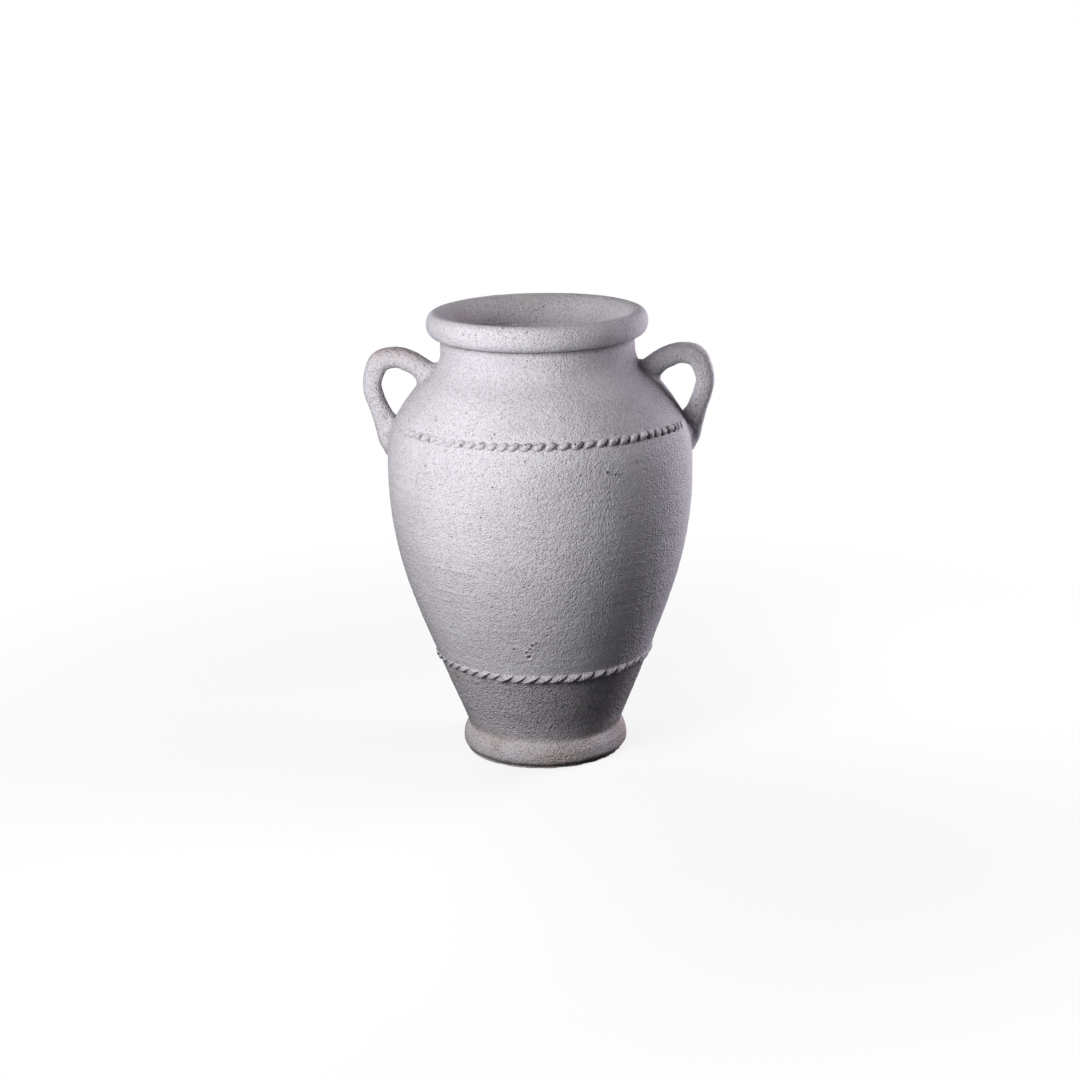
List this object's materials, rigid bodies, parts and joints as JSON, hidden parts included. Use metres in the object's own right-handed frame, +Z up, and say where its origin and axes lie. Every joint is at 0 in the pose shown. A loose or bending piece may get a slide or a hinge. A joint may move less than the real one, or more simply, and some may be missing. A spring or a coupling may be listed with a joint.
{
  "type": "two-handled storage jar",
  "caption": "Upright unglazed clay storage jar with a rolled rim, short neck, full belly tapering to a ring foot, upright loop handles on the shoulder and twisted rope bands round it.",
  "frame": {"origin": "centre of the foot, on the surface that the jar stands on", "axes": "+Z up along the jar's axis, +X through the right handle, -Y towards the viewer in the picture"},
  "size_m": [0.349, 0.304, 0.45],
  "materials": {
    "wall_clay": "whitewashed, sandy and matt",
    "rim_clay": "whitewashed and rubbed, clay showing inside",
    "rope_clay": "whitewashed, clay showing in the creases",
    "handle_clay": "whitewashed, clay showing at the roots",
    "foot_clay": "thinly whitewashed, rough along its lower edge",
    "inside_clay": "bare clay, matt"
  },
  "bodies": {
    "root": {"foot_ring": "foot_clay", "floor_slab": "inside_clay", "lower_wall": "wall_clay", "lower_rope": "rope_clay", "belly_wall": "wall_clay", "upper_rope_front": "rope_clay", "upper_rope_back": "rope_clay", "shoulder_neck": "wall_clay", "rim_roll": "rim_clay", "right_handle": "handle_clay", "left_handle": "handle_clay"}
  },
  "joints": []
}
